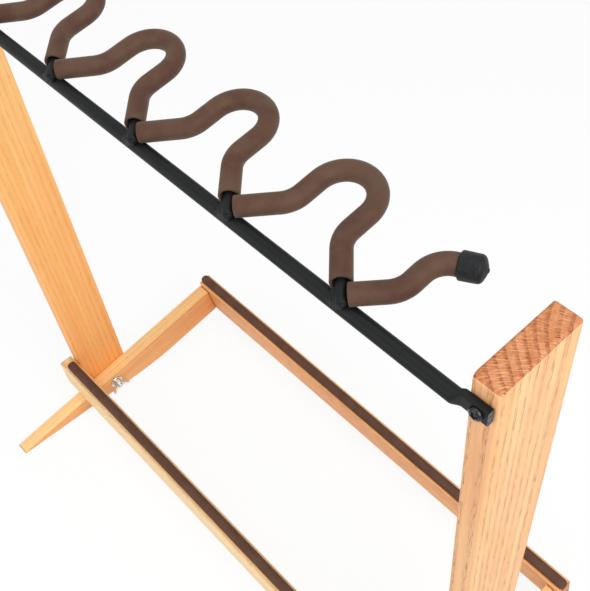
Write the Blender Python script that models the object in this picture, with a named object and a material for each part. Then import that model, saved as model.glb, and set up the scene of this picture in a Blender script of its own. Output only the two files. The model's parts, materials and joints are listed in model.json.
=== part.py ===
"""Folding oak guitar rack: six padded neck notches over two padded body rails.

Units are metres, +Z is up and the players' side faces -Y. Two wooden frames turn about one pivot
axis across the feet. The base frame stands on the floor: two legs and the front rail. The upright
frame carries the rear rail, the steel rack bar and its padded hooks, and rests on the legs.
"""
import math

import bmesh
import bpy
from mathutils import Matrix, Vector

# Oak stock
BOARD_THICK = 0.019
BOARD_WIDTH = 0.0655
ARRIS = 0.0018
STAND_WIDTH = 0.704
SEAT_GAP = 0.0003

# Fold pivot and the two frames that share it
PIVOT_HEIGHT = 0.0175
PIVOT_FROM_CENTRE = 0.0241
UPRIGHT_LEAN = math.radians(2.5)
LEG_SLOPE = math.radians(10.95)

# Uprights, measured along the board from the pivot
UPRIGHT_TOP = 0.7355
UPRIGHT_FOOT = 0.0145
TOP_REAR_ROUND = 0.0045
TOP_FRONT_ROUND = 0.0028

# Legs, in the sloping frame of their straight top edge
LEG_TOP = 0.0154
LEG_DEPTH = 0.0460
LEG_FRONT = 0.1869
LEG_TOE = 0.160
LEG_SIDE_PLAY = 0.0004
BELLY_TANGENT = 0.035
BELLY_STEPS = 8

# Rails and their rubber pads
REAR_RAIL_HEIGHT = 0.0455
REAR_RAIL_OVERHANG = 0.005
REAR_RAIL_CORNER = 0.004
FRONT_RAIL_HEIGHT = 0.0525
PAD_WIDTH = 0.0118
PAD_HEIGHT = 0.0090
PAD_CROWN = 0.0048
PAD_ROUND_END = 0.0055
PAD_END_SIZE = 0.4
REAR_PAD_INSET = 0.0120
FRONT_PAD_INSET = 0.0003
DOWEL_RADIUS = 0.004
DOWEL_LENGTH = 0.030
DOWEL_IN_RAIL = 0.011
DOWEL_EDGE = 0.0125

# Rack bar
BAR_RADIUS = 0.0051
BAR_BEHIND = 0.0050
BAR_BELOW_TOP = 0.0208
BAR_END_SHORT = 0.0025
BAR_FLAT_LENGTH = 0.0170
BAR_PINCH = 0.005
BAR_FLAT_THICK = 0.0050
BAR_FLAT_HEIGHT = 0.0124

# Hooks: hairpins of round rod, each in a rubber sleeve, welded on top of the bar. At each weld the
# rod on its +x side runs on across the bar, and the rod on its -x side butts against it.
NOTCHES = 6
NOTCH_PITCH = 0.0976
HOOK_TILT = math.radians(6.4)
HOOK_ROD_RADIUS = 0.0035
SLEEVE_RADIUS = 0.0071
SLEEVE_BORE = 0.0038
VERTEX_BEHIND = 0.0043
VERTEX_BELOW_TOP = 0.0118
HAIRPIN_HALF_WIDTH = 0.0208
HAIRPIN_CENTRE = 0.0497
HAIRPIN_BEND = 0.019
END_HOOK_OFFSET = 0.0238
END_HOOK_CORNER = 0.0508
END_HOOK_TURN = math.radians(64.0)
END_HOOK_BEND = 0.018
END_HOOK_TAIL = 0.0267
ROD_OVERRUN = 0.0060
SLEEVE_OVER_START = 0.0081
BUTT_START = 0.0040
CAP_LENGTH = 0.0160
CAP_RADIUS = 0.0087
CAP_WALL = 0.0026
ROD_SIDES = 8
SLEEVE_SIDES = 12

# Fasteners
BOLT_RADIUS = 0.003
BOLT_HEAD_RADIUS = 0.0083
BOLT_HEAD_HEIGHT = 0.0036
BOLT_PAST_NUT = 0.0015
WASHER_RADIUS = 0.0092
WASHER_THICK = 0.0016
HUB_FOOT_RADIUS = 0.0063
HUB_TOP_RADIUS = 0.0052
HUB_HEIGHT = 0.0082
WING_SPAN = 0.0286
WING_HEIGHT = 0.0139
WING_THICK = 0.0028
WING_TURN = math.radians(7.0)
SCREW_RADIUS = 0.0021
SCREW_LENGTH = 0.030
SCREW_HEAD_RADIUS = 0.0046
SCREW_HEAD_HEIGHT = 0.0030
BORE_PLAY = 0.0003

INNER_FACE = STAND_WIDTH / 2 - BOARD_THICK
HALF_BOARD = BOARD_WIDTH / 2
SIDES = (("left", -1), ("right", 1))


def clear_scene():
    for item in list(bpy.data.objects):
        bpy.data.objects.remove(item, do_unlink=True)


def make_material(name, colour, roughness, metallic=0.0):
    material = bpy.data.materials.new(name)
    material.use_nodes = True
    shader = material.node_tree.nodes["Principled BSDF"]
    shader.inputs["Base Color"].default_value = (*colour, 1.0)
    shader.inputs["Roughness"].default_value = roughness
    shader.inputs["Metallic"].default_value = metallic
    return material


def make_empty(name, location, tilt):
    empty = bpy.data.objects.new(name, None)
    bpy.context.collection.objects.link(empty)
    empty.location = location
    empty.rotation_euler = (tilt, 0.0, 0.0)
    return empty


def make_object(name, bm, frame, material, smooth=False):
    """Turn a bmesh into an object in a frame's own axes, with its faces pointing out."""
    bmesh.ops.recalc_face_normals(bm, faces=bm.faces)
    mesh = bpy.data.meshes.new(name)
    bm.to_mesh(mesh)
    bm.free()
    if smooth:
        mesh.shade_smooth()
        mesh.set_sharp_from_angle(angle=math.radians(40))
    piece = bpy.data.objects.new(name, mesh)
    bpy.context.collection.objects.link(piece)
    piece.parent = frame
    if material is not None:
        mesh.materials.append(material)
    return piece


def ease_edges(piece, width, segments=2):
    bevel = piece.modifiers.new("eased_edges", "BEVEL")
    bevel.width = width
    bevel.segments = segments
    bevel.limit_method = "ANGLE"
    bevel.angle_limit = math.radians(40)


def skin_rings(bm, rings):
    """Bridge closed rings of equal count, in order."""
    count = len(rings[0])
    for near, far in zip(rings, rings[1:]):
        for i in range(count):
            j = (i + 1) % count
            bm.faces.new((near[i], near[j], far[j], far[i]))


def ring(bm, centre, across, up, radius, sides):
    """A ring of vertices round a centre."""
    verts = []
    for i in range(sides):
        angle = math.tau * (i + 0.5) / sides
        offset = across * (math.cos(angle) * radius) + up * (math.sin(angle) * radius)
        verts.append(bm.verts.new(centre + offset))
    return verts


def turned(profile, origin, axis, sides):
    """A solid of revolution; profile is (distance along the axis, radius)."""
    bm = bmesh.new()
    axis = Vector(axis).normalized()
    up = Vector((0, 0, 1)) if abs(axis.z) < 0.9 else Vector((0, 1, 0))
    across = axis.cross(up).normalized()
    up = across.cross(axis)
    rings = []
    for along, radius in profile:
        rings.append(ring(bm, Vector(origin) + axis * along, across, up, radius, sides))
    skin_rings(bm, rings)
    bm.faces.new(rings[0])
    bm.faces.new(rings[-1])
    return bm


def add_cutter(target, cutter, operation="DIFFERENCE"):
    cutter.hide_render = True
    cutter.display_type = "WIRE"
    cut = target.modifiers.new("cut_" + cutter.name, "BOOLEAN")
    cut.operation = operation
    cut.object = cutter


def bore(target, name, radius, start, end, sides=12):
    """Cut a round hole from start to end, both in the target's frame."""
    span = Vector(end) - Vector(start)
    bm = turned([(0.0, radius), (span.length, radius)], start, span, sides)
    add_cutter(target, make_object("cutter_" + name, bm, target.parent, None))


def board(name, x_range, y_range, z_range, frame, material):
    bm = bmesh.new()
    bmesh.ops.create_cube(bm, size=1.0)
    low = Vector((x_range[0], y_range[0], z_range[0]))
    high = Vector((x_range[1], y_range[1], z_range[1]))
    scale = Matrix.Diagonal((*(high - low), 1.0))
    bmesh.ops.transform(bm, matrix=Matrix.Translation((low + high) / 2) @ scale, verts=bm.verts)
    return make_object(name, bm, frame, material)


def extrude_outline(name, points, x_range, frame, material):
    """Extrude a closed (y, z) outline across x."""
    bm = bmesh.new()
    near = [bm.verts.new((x_range[0], y, z)) for y, z in points]
    far = [bm.verts.new((x_range[1], y, z)) for y, z in points]
    skin_rings(bm, [near, far])
    bm.faces.new(near)
    bm.faces.new(far)
    return make_object(name, bm, frame, material)


def extrude_front_outline(name, points, y_range, frame, material):
    """Extrude a closed (x, z) outline across y."""
    bm = bmesh.new()
    near = [bm.verts.new((x, y_range[0], z)) for x, z in points]
    far = [bm.verts.new((x, y_range[1], z)) for x, z in points]
    skin_rings(bm, [near, far])
    bm.faces.new(near)
    bm.faces.new(far)
    return make_object(name, bm, frame, material)


def arc_points(centre, radius, start, end, steps):
    """Points on an arc in a plane, from the start angle to the end angle."""
    points = []
    for i in range(steps + 1):
        angle = start + (end - start) * i / steps
        points.append((centre[0] + radius * math.cos(angle), centre[1] + radius * math.sin(angle)))
    return points


def rounded_corner(before, corner, after, radius, steps):
    """Points of the arc that rounds a corner of a flat path."""
    corner = Vector(corner)
    back = (Vector(before) - corner).normalized()
    on = (Vector(after) - corner).normalized()
    half = back.angle(on) / 2
    reach = radius / math.tan(half)
    centre = corner + (back + on).normalized() * (radius / math.sin(half))
    first = corner + back * reach - centre
    last = corner + on * reach - centre
    turn = first.angle_signed(last)
    points = []
    for i in range(steps + 1):
        angle = -turn * i / steps
        rotated = Matrix.Rotation(angle, 2) @ first
        points.append(tuple(centre + rotated))
    return points


# Hook paths, in the hooks' own plane: x across the rack, s forward from the bar

def hairpin_path():
    """Centre line of one hairpin, from its left weld to its right weld."""
    weld = (-NOTCH_PITCH / 2, 0.0)
    knee = (-HAIRPIN_HALF_WIDTH, NOTCH_PITCH / 2 - HAIRPIN_HALF_WIDTH)
    centre = (0.0, HAIRPIN_CENTRE)
    left = [weld] + rounded_corner(weld, knee, (-HAIRPIN_HALF_WIDTH, HAIRPIN_CENTRE), HAIRPIN_BEND, 3)
    crown = arc_points(centre, HAIRPIN_HALF_WIDTH, math.pi, 0.0, 10)
    right = [(-x, s) for x, s in reversed(left)]
    return left + crown + right


def end_hook_path():
    """Centre line of the hook at the rack's +x end, from its weld out to its capped tip."""
    weld = (0.0, 0.0)
    knee = (END_HOOK_OFFSET, END_HOOK_OFFSET)
    corner = (END_HOOK_OFFSET, END_HOOK_CORNER)
    tip = (END_HOOK_OFFSET + END_HOOK_TAIL * math.sin(END_HOOK_TURN),
           END_HOOK_CORNER + END_HOOK_TAIL * math.cos(END_HOOK_TURN))
    path = [weld] + rounded_corner(weld, knee, corner, HAIRPIN_BEND * 0.9, 3)
    return path + rounded_corner(knee, corner, tip, END_HOOK_BEND, 4) + [tip]


def trimmed(path, start, end):
    """A path shortened at its two ends, which run straight there; a negative amount lengthens it."""
    points = [point.copy() for point in path]
    points[0] += (points[1] - points[0]).normalized() * start
    points[-1] += (points[-2] - points[-1]).normalized() * end
    return points


def hook_point(x, s):
    """Place a point of the hooks' plane in the upright frame."""
    y = HALF_BOARD + VERTEX_BEHIND - s * math.cos(HOOK_TILT)
    z = UPRIGHT_TOP - VERTEX_BELOW_TOP + s * math.sin(HOOK_TILT)
    return Vector((x, y, z))


def swept(path, radius, bore_radius, sides):
    """A round bar, or a tube when bore_radius is over zero, along a path of the hooks' plane."""
    bm = bmesh.new()
    normal = Vector((0.0, math.sin(HOOK_TILT), math.cos(HOOK_TILT)))
    outer = []
    inner = []
    for i, point in enumerate(path):
        before = path[max(i - 1, 0)]
        after = path[min(i + 1, len(path) - 1)]
        here = hook_point(*point)
        run_in = (here - hook_point(*before)).normalized()
        run_out = (hook_point(*after) - here).normalized()
        along = (run_in + run_out).normalized()
        across = along.cross(normal).normalized()
        outer.append(ring(bm, here, across, normal, radius, sides))
        if bore_radius > 0:
            inner.append(ring(bm, here, across, normal, bore_radius, sides))
    skin_rings(bm, outer)
    if bore_radius > 0:
        skin_rings(bm, inner)
        skin_rings(bm, [outer[0], inner[0]])
        skin_rings(bm, [outer[-1], inner[-1]])
    else:
        bm.faces.new(outer[0])
        bm.faces.new(outer[-1])
    return bm


def along_rack(path, x, mirrored=False):
    """A path of the hooks' plane moved along the rack, as vectors."""
    sign = -1 if mirrored else 1
    return [Vector((x + sign * across, forward)) for across, forward in path]


def vertex_x(index):
    """x of the weld at the bottom of one notch."""
    return (index - (NOTCHES - 1) / 2) * NOTCH_PITCH


# Upright frame

def rear_rail_bottom():
    """Height at which the rail's lower front arris meets the legs' sloping top edge."""
    fall = math.tan(LEG_SLOPE - UPRIGHT_LEAN)
    crest = LEG_TOP / math.cos(LEG_SLOPE - UPRIGHT_LEAN)
    return crest - fall * (HALF_BOARD + SEAT_GAP) + SEAT_GAP


def rear_dowel_heights():
    low = rear_rail_bottom()
    return (low + DOWEL_EDGE, low + REAR_RAIL_HEIGHT - DOWEL_EDGE)


def make_upright(side, sign, frame, material):
    faces = sorted((sign * INNER_FACE, sign * STAND_WIDTH / 2))
    name = "upright_" + side
    rear, front = TOP_REAR_ROUND, TOP_FRONT_ROUND
    outline = [(-HALF_BOARD, -UPRIGHT_FOOT), (HALF_BOARD, -UPRIGHT_FOOT)]
    outline += arc_points((HALF_BOARD - rear, UPRIGHT_TOP - rear), rear, 0.0, math.pi / 2, 4)
    outline += arc_points((front - HALF_BOARD, UPRIGHT_TOP - front), front, math.pi / 2, math.pi, 4)
    piece = extrude_outline(name, outline, faces, frame, material)
    ease_edges(piece, ARRIS)
    middle = sign * (INNER_FACE + BOARD_THICK / 2)
    reach = BOARD_THICK
    bore(piece, name + "_pivot", BOLT_RADIUS + BORE_PLAY, (middle - reach, 0, 0), (middle + reach, 0, 0), 20)
    screw_z = UPRIGHT_TOP - BAR_BELOW_TOP
    screw_end = HALF_BOARD - SCREW_LENGTH
    bore(piece, name + "_screw", SCREW_RADIUS + BORE_PLAY, (middle, HALF_BOARD + 0.01, screw_z),
         (middle, screw_end, screw_z))
    dowel_end = HALF_BOARD + SEAT_GAP + DOWEL_IN_RAIL - DOWEL_LENGTH - BORE_PLAY
    for number, height in enumerate(rear_dowel_heights(), 1):
        bore(piece, f"{name}_dowel_{number}", DOWEL_RADIUS + BORE_PLAY, (middle, HALF_BOARD + 0.01, height),
             (middle, dowel_end, height))
    return piece


def make_rear_rail(frame, material):
    low = rear_rail_bottom()
    high = low + REAR_RAIL_HEIGHT
    half = STAND_WIDTH / 2 + REAR_RAIL_OVERHANG
    corner = REAR_RAIL_CORNER
    outline = [(half, high)]
    outline += arc_points((half - corner, low + corner), corner, 0.0, -math.pi / 2, 4)
    outline += arc_points((corner - half, low + corner), corner, -math.pi / 2, -math.pi, 4)
    outline += [(-half, high)]
    front = HALF_BOARD + SEAT_GAP
    rail = extrude_front_outline("rear_rail", outline, (front, front + BOARD_THICK), frame, material)
    ease_edges(rail, ARRIS)
    for side, sign in SIDES:
        x = sign * (INNER_FACE + BOARD_THICK / 2)
        for number, height in enumerate(rear_dowel_heights(), 1):
            bore(rail, f"rear_rail_{side}_{number}", DOWEL_RADIUS + BORE_PLAY, (x, front - 0.01, height),
                 (x, front + DOWEL_IN_RAIL + BORE_PLAY, height))
    return rail


def pad_section():
    """Half-round strip: flat base, short upright sides and a round crown, as (y, z) from its base."""
    half = PAD_WIDTH / 2
    side = PAD_HEIGHT - PAD_CROWN
    section = [(-half, 0.0), (half, 0.0)]
    for i in range(9):
        angle = math.pi * i / 8
        section.append((half * math.cos(angle), side + PAD_CROWN * math.sin(angle)))
    return section


def make_pad(name, half_length, centre_y, base_z, frame, material, round_ends):
    """A rubber strip along a rail, cut square or rounded down to its base at both ends."""
    stations = [(half_length, 1.0)]
    if round_ends:
        straight = half_length - PAD_ROUND_END
        stations = []
        for i in range(4):
            angle = math.radians(30 * i)
            size = PAD_END_SIZE + (1 - PAD_END_SIZE) * math.cos(angle)
            stations.append((straight + PAD_ROUND_END * math.sin(angle), size))
    stations = [(-x, size) for x, size in reversed(stations)] + stations
    bm = bmesh.new()
    rings = []
    for x, size in stations:
        rings.append([bm.verts.new((x, centre_y + y * size, base_z + z * size)) for y, z in pad_section()])
    skin_rings(bm, rings)
    bm.faces.new(rings[0])
    bm.faces.new(rings[-1])
    return make_object(name, bm, frame, material)


def make_dowel(name, x, y_range, z, frame, material):
    length = y_range[1] - y_range[0]
    ease = DOWEL_RADIUS * 0.25
    profile = [(0.0, DOWEL_RADIUS - ease), (ease, DOWEL_RADIUS)]
    profile += [(length - ease, DOWEL_RADIUS), (length, DOWEL_RADIUS - ease)]
    bm = turned(profile, (x, y_range[0], z), (0, 1, 0), 12)
    return make_object(name, bm, frame, material, smooth=True)


def bar_section(bm, x, flatness):
    """One cross-section of the bar: round at flatness 0, a flat lug at flatness 1."""
    round_y = HALF_BOARD + BAR_BEHIND
    flat_y = HALF_BOARD + SEAT_GAP + BAR_FLAT_THICK / 2
    centre_y = round_y + (flat_y - round_y) * flatness
    centre_z = UPRIGHT_TOP - BAR_BELOW_TOP
    verts = []
    sides = 24
    for i in range(sides):
        angle = math.tau * (i + 0.5) / sides
        cos, sin = math.cos(angle), math.sin(angle)
        square = 1.0 / max(abs(cos), abs(sin))
        lug = (cos * square * BAR_FLAT_THICK / 2, sin * square * BAR_FLAT_HEIGHT / 2)
        disc = (cos * BAR_RADIUS, sin * BAR_RADIUS)
        y = centre_y + disc[0] + (lug[0] - disc[0]) * flatness
        z = centre_z + disc[1] + (lug[1] - disc[1]) * flatness
        verts.append(bm.verts.new((x, y, z)))
    return verts


def make_rack_bar(frame, material):
    """Round bar whose ends are forged to flat lugs that screw to the uprights' rear edges."""
    bm = bmesh.new()
    tip = STAND_WIDTH / 2 - BAR_END_SHORT
    lug = tip - BAR_FLAT_LENGTH
    stations = [(tip, 1.0), (lug, 1.0), (lug - BAR_PINCH * 0.5, 0.5), (lug - BAR_PINCH, 0.0)]
    right = [(x, flatness) for x, flatness in reversed(stations)]
    left = [(-x, flatness) for x, flatness in stations]
    rings = [bar_section(bm, x, flatness) for x, flatness in left + right]
    skin_rings(bm, rings)
    bm.faces.new(rings[0])
    bm.faces.new(rings[-1])
    bar = make_object("rack_bar", bm, frame, material, smooth=True)
    for side, sign in SIDES:
        x = sign * (INNER_FACE + BOARD_THICK / 2)
        z = UPRIGHT_TOP - BAR_BELOW_TOP
        bore(bar, "bar_" + side, SCREW_RADIUS + BORE_PLAY, (x, HALF_BOARD - 0.01, z),
             (x, HALF_BOARD + 0.02, z))
    return bar


def make_bar_cutter(frame):
    """The bar with a hair of clearance, which notches the sleeves that start over it."""
    y = HALF_BOARD + BAR_BEHIND
    z = UPRIGHT_TOP - BAR_BELOW_TOP
    half = STAND_WIDTH / 2
    radius = BAR_RADIUS + SEAT_GAP
    bm = turned([(0.0, radius), (2 * half, radius)], (-half, y, z), (1, 0, 0), 32)
    return make_object("cutter_rack_bar", bm, frame, None)


def make_hook(label, path, ends, tail, frame, mats, bar_cutter):
    """Rod and sleeve along one path; ends says how its first and its last end are made."""
    rod_trim = {"over": -ROD_OVERRUN, "butt": BUTT_START, "cap": 0.0}
    sleeve_trim = {"over": SLEEVE_OVER_START, "butt": BUTT_START, "cap": tail}
    rod_path = trimmed(path, rod_trim[ends[0]], rod_trim[ends[1]])
    rod = swept(rod_path, HOOK_ROD_RADIUS, 0.0, ROD_SIDES)
    make_object(f"hook_rod_{label}", rod, frame, mats["black_steel"], smooth=True)
    sleeve_path = trimmed(path, sleeve_trim[ends[0]], sleeve_trim[ends[1]])
    sleeve = swept(sleeve_path, SLEEVE_RADIUS, SLEEVE_BORE, SLEEVE_SIDES)
    piece = make_object(f"hook_sleeve_{label}", sleeve, frame, mats["rubber"], smooth=True)
    if "butt" in ends:
        add_cutter(piece, bar_cutter)


def make_hairpins(frame, mats, bar_cutter):
    for number in range(1, NOTCHES):
        x = (vertex_x(number - 1) + vertex_x(number)) / 2
        path = along_rack(hairpin_path(), x)
        make_hook(number, path, ("over", "butt"), 0.0, frame, mats, bar_cutter)


def make_end_cap(name, x, sign, frame, material):
    """Closed rubber cap over a hook's tip, with a blind bore for the rod."""
    path = end_hook_path()
    tip = Vector(path[-1])
    inward = (Vector(path[-2]) - tip).normalized()
    mouth = tip + inward * (CAP_LENGTH - CAP_WALL)
    mouth_point = hook_point(x + sign * mouth.x, mouth.y)
    tip_point = hook_point(x + sign * tip.x, tip.y)
    axis = (tip_point - mouth_point).normalized()
    bore_radius = HOOK_ROD_RADIUS + BORE_PLAY
    round_over = CAP_RADIUS * 0.6
    profile = [(CAP_LENGTH - CAP_WALL + BORE_PLAY, bore_radius), (0.0, bore_radius)]
    profile += [(0.0, CAP_RADIUS * 0.95), (0.0008, CAP_RADIUS), (CAP_LENGTH - round_over, CAP_RADIUS * 0.97)]
    for i in range(1, 4):
        angle = math.radians(30 * i)
        along = CAP_LENGTH - round_over + round_over * math.sin(angle)
        profile.append((along, CAP_RADIUS * 0.97 - round_over * (1 - math.cos(angle))))
    bm = turned(profile, mouth_point, axis, 16)
    return make_object(name, bm, frame, material, smooth=True)


def make_end_hooks(frame, mats, bar_cutter):
    tail = CAP_LENGTH - CAP_WALL + SEAT_GAP
    for side, sign in SIDES:
        x = sign * vertex_x(NOTCHES - 1)
        path = along_rack(end_hook_path(), x, sign < 0)
        weld = "butt" if sign < 0 else "over"
        make_hook(side, path, (weld, "cap"), tail, frame, mats, bar_cutter)
        make_end_cap("hook_cap_" + side, x, sign, frame, mats["black_rubber"])


def make_bar_screw(side, sign, frame, material):
    """Pan-head wood screw through the bar's flat lug."""
    x = sign * (INNER_FACE + BOARD_THICK / 2)
    z = UPRIGHT_TOP - BAR_BELOW_TOP
    seat = HALF_BOARD + SEAT_GAP + BAR_FLAT_THICK + SEAT_GAP
    head = SCREW_HEAD_HEIGHT
    shank = seat - (HALF_BOARD - SCREW_LENGTH) - BORE_PLAY
    profile = [(-head, SCREW_HEAD_RADIUS * 0.45), (-head * 0.85, SCREW_HEAD_RADIUS * 0.75)]
    profile += [(-head * 0.45, SCREW_HEAD_RADIUS), (0.0, SCREW_HEAD_RADIUS), (0.0, SCREW_RADIUS)]
    profile += [(shank - 0.004, SCREW_RADIUS), (shank, SCREW_RADIUS * 0.2)]
    bm = turned(profile, (x, seat, z), (0, -1, 0), 16)
    return make_object("bar_screw_" + side, bm, frame, material, smooth=True)


def wing_outline():
    """One wing of the nut as (distance from the axis, height over the washer)."""
    reach, top = WING_SPAN / 2, WING_HEIGHT
    root = (HUB_TOP_RADIUS + BOLT_RADIUS) / 2
    return [(root, top * 0.10), (HUB_FOOT_RADIUS, top * 0.16), (reach * 0.68, top * 0.34),
            (reach * 0.89, top * 0.60), (reach, top * 0.83), (reach * 0.97, top * 0.95),
            (reach * 0.87, top), (reach * 0.74, top * 0.94), (reach * 0.58, top * 0.74),
            (HUB_TOP_RADIUS, top * 0.58), (root, top * 0.55)]


def make_wing_nut(side, sign, seat, frame, steel):
    """Tapered hub with a through bore and two flat wings that spread as they rise from the washer."""
    bore_radius = BOLT_RADIUS + BORE_PLAY
    axis = Vector((-sign, 0, 0))
    profile = [(0.0, HUB_FOOT_RADIUS), (HUB_HEIGHT * 0.3, HUB_FOOT_RADIUS), (HUB_HEIGHT, HUB_TOP_RADIUS),
               (HUB_HEIGHT, bore_radius), (0.0, bore_radius)]
    rings = []
    bm = bmesh.new()
    for along, radius in profile:
        centre = Vector((sign * seat, 0, 0)) + axis * along
        rings.append(ring(bm, centre, Vector((0, 1, 0)), Vector((0, 0, 1)), radius, 20))
    skin_rings(bm, rings + [rings[0]])
    nut = make_object("pivot_nut_" + side, bm, frame, steel, smooth=True)
    for number, way in enumerate((-1, 1), 1):
        outward = Vector((0, way * math.cos(WING_TURN), -way * math.sin(WING_TURN)))
        thick = outward.cross(axis) * (WING_THICK / 2)
        bm = bmesh.new()
        faces = []
        for shift in (-1, 1):
            foot = Vector((sign * seat, 0, 0)) + thick * shift
            faces.append([bm.verts.new(foot + outward * out + axis * rise) for out, rise in wing_outline()])
        skin_rings(bm, faces)
        bm.faces.new(faces[0])
        bm.faces.new(faces[1])
        wing = make_object(f"cutter_wing_{side}_{number}", bm, frame, None)
        add_cutter(nut, wing, "UNION")
    return nut


def make_pivot(side, sign, frame, steel):
    """Carriage bolt from the outer face, with a washer and a wing nut on the leg's inner face."""
    outer = STAND_WIDTH / 2 + SEAT_GAP
    leg_inner = INNER_FACE - LEG_SIDE_PLAY - BOARD_THICK
    washer_seat = leg_inner - SEAT_GAP
    nut_seat = washer_seat - WASHER_THICK - SEAT_GAP
    length = outer - nut_seat + HUB_HEIGHT + BOLT_PAST_NUT
    head = BOLT_HEAD_HEIGHT
    profile = [(-head, BOLT_HEAD_RADIUS * 0.3), (-head * 0.85, BOLT_HEAD_RADIUS * 0.65)]
    profile += [(-head * 0.5, BOLT_HEAD_RADIUS * 0.9), (-head * 0.15, BOLT_HEAD_RADIUS)]
    profile += [(0.0, BOLT_HEAD_RADIUS)]
    profile += [(0.0, BOLT_RADIUS), (length - 0.001, BOLT_RADIUS), (length, BOLT_RADIUS * 0.8)]
    bolt = turned(profile, (sign * outer, 0, 0), (-sign, 0, 0), 20)
    make_object("pivot_bolt_" + side, bolt, frame, steel, smooth=True)

    bore_radius = BOLT_RADIUS + BORE_PLAY
    bm = bmesh.new()
    axis = Vector((-sign, 0, 0))
    across, up = Vector((0, 1, 0)), Vector((0, 0, 1))
    rings = []
    for along, radius in ((0.0, WASHER_RADIUS), (WASHER_THICK, WASHER_RADIUS), (WASHER_THICK, bore_radius),
                          (0.0, bore_radius)):
        centre = Vector((sign * washer_seat, 0, 0)) + axis * along
        rings.append(ring(bm, centre, across, up, radius, 28))
    skin_rings(bm, rings + [rings[0]])
    make_object("pivot_washer_" + side, bm, frame, steel, smooth=True)
    make_wing_nut(side, sign, nut_seat, frame, steel)


def make_upright_frame(frame, mats):
    for side, sign in SIDES:
        make_upright(side, sign, frame, mats["oak"])
    make_rear_rail(frame, mats["oak"])
    rail_top = rear_rail_bottom() + REAR_RAIL_HEIGHT
    rail_middle = HALF_BOARD + SEAT_GAP + BOARD_THICK / 2
    make_pad("rear_rail_pad", STAND_WIDTH / 2 - REAR_PAD_INSET, rail_middle, rail_top + SEAT_GAP, frame,
             mats["rubber"], round_ends=False)
    dowel_rear = HALF_BOARD + SEAT_GAP + DOWEL_IN_RAIL
    for side, sign in SIDES:
        for number, height in enumerate(rear_dowel_heights(), 1):
            make_dowel(f"rear_dowel_{side}_{number}", sign * (INNER_FACE + BOARD_THICK / 2),
                       (dowel_rear - DOWEL_LENGTH, dowel_rear), height, frame, mats["beech"])
        make_bar_screw(side, sign, frame, mats["black_steel"])
        make_pivot(side, sign, frame, mats["zinc"])
    make_rack_bar(frame, mats["black_steel"])
    bar_cutter = make_bar_cutter(frame)
    make_hairpins(frame, mats, bar_cutter)
    make_end_hooks(frame, mats, bar_cutter)


# Base frame

def leg_outline():
    """Side view of a leg: straight top edge, square front end, flat sole and a curved belly."""
    tangent = math.tan(LEG_SLOPE)
    drop = PIVOT_HEIGHT / math.cos(LEG_SLOPE)

    def sole(y):
        return y * tangent - drop

    bottom = LEG_TOP - LEG_DEPTH
    corner = ((bottom + drop) / tangent, bottom)
    radius = BELLY_TANGENT / math.tan(LEG_SLOPE / 2)
    belly = rounded_corner((-LEG_FRONT, bottom), corner, (LEG_TOE, sole(LEG_TOE)), radius, BELLY_STEPS)
    outline = [(LEG_TOE, LEG_TOP), (-LEG_FRONT, LEG_TOP), (-LEG_FRONT, bottom)]
    return outline + belly + [(LEG_TOE, sole(LEG_TOE))]


def front_dowel_heights():
    return (LEG_TOP - DOWEL_EDGE, LEG_TOP - LEG_DEPTH + DOWEL_EDGE)


def make_leg(side, sign, frame, material):
    outer = INNER_FACE - LEG_SIDE_PLAY
    faces = sorted((sign * outer, sign * (outer - BOARD_THICK)))
    name = "leg_" + side
    piece = extrude_outline(name, leg_outline(), faces, frame, material)
    ease_edges(piece, ARRIS * 0.8)
    middle = sign * (outer - BOARD_THICK / 2)
    bore(piece, name + "_pivot", BOLT_RADIUS + BORE_PLAY, (middle - BOARD_THICK, 0, 0),
         (middle + BOARD_THICK, 0, 0), 20)
    dowel_end = DOWEL_LENGTH - DOWEL_IN_RAIL - SEAT_GAP + BORE_PLAY - LEG_FRONT
    for number, height in enumerate(front_dowel_heights(), 1):
        bore(piece, f"{name}_dowel_{number}", DOWEL_RADIUS + BORE_PLAY, (middle, -LEG_FRONT - 0.01, height),
             (middle, dowel_end, height))
    return piece


def make_front_rail(frame, material):
    rear = -LEG_FRONT - SEAT_GAP
    half = INNER_FACE - LEG_SIDE_PLAY
    low = LEG_TOP - LEG_DEPTH
    rail = board("front_rail", (-half, half), (rear - BOARD_THICK, rear), (low, low + FRONT_RAIL_HEIGHT),
                 frame, material)
    ease_edges(rail, ARRIS)
    for side, sign in SIDES:
        x = sign * (half - BOARD_THICK / 2)
        for number, height in enumerate(front_dowel_heights(), 1):
            bore(rail, f"front_rail_{side}_{number}", DOWEL_RADIUS + BORE_PLAY, (x, rear + 0.01, height),
                 (x, rear - DOWEL_IN_RAIL - BORE_PLAY, height))
    return rail


def make_base_frame(frame, mats):
    for side, sign in SIDES:
        make_leg(side, sign, frame, mats["oak"])
    make_front_rail(frame, mats["oak"])
    rail_top = LEG_TOP - LEG_DEPTH + FRONT_RAIL_HEIGHT
    rail_middle = -LEG_FRONT - SEAT_GAP - BOARD_THICK / 2
    half = INNER_FACE - LEG_SIDE_PLAY
    make_pad("front_rail_pad", half - FRONT_PAD_INSET, rail_middle, rail_top + SEAT_GAP, frame,
             mats["rubber"], round_ends=True)
    dowel_front = -LEG_FRONT - SEAT_GAP - DOWEL_IN_RAIL
    for side, sign in SIDES:
        for number, height in enumerate(front_dowel_heights(), 1):
            make_dowel(f"front_dowel_{side}_{number}", sign * (half - BOARD_THICK / 2),
                       (dowel_front, dowel_front + DOWEL_LENGTH), height, frame, mats["beech"])


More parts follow.
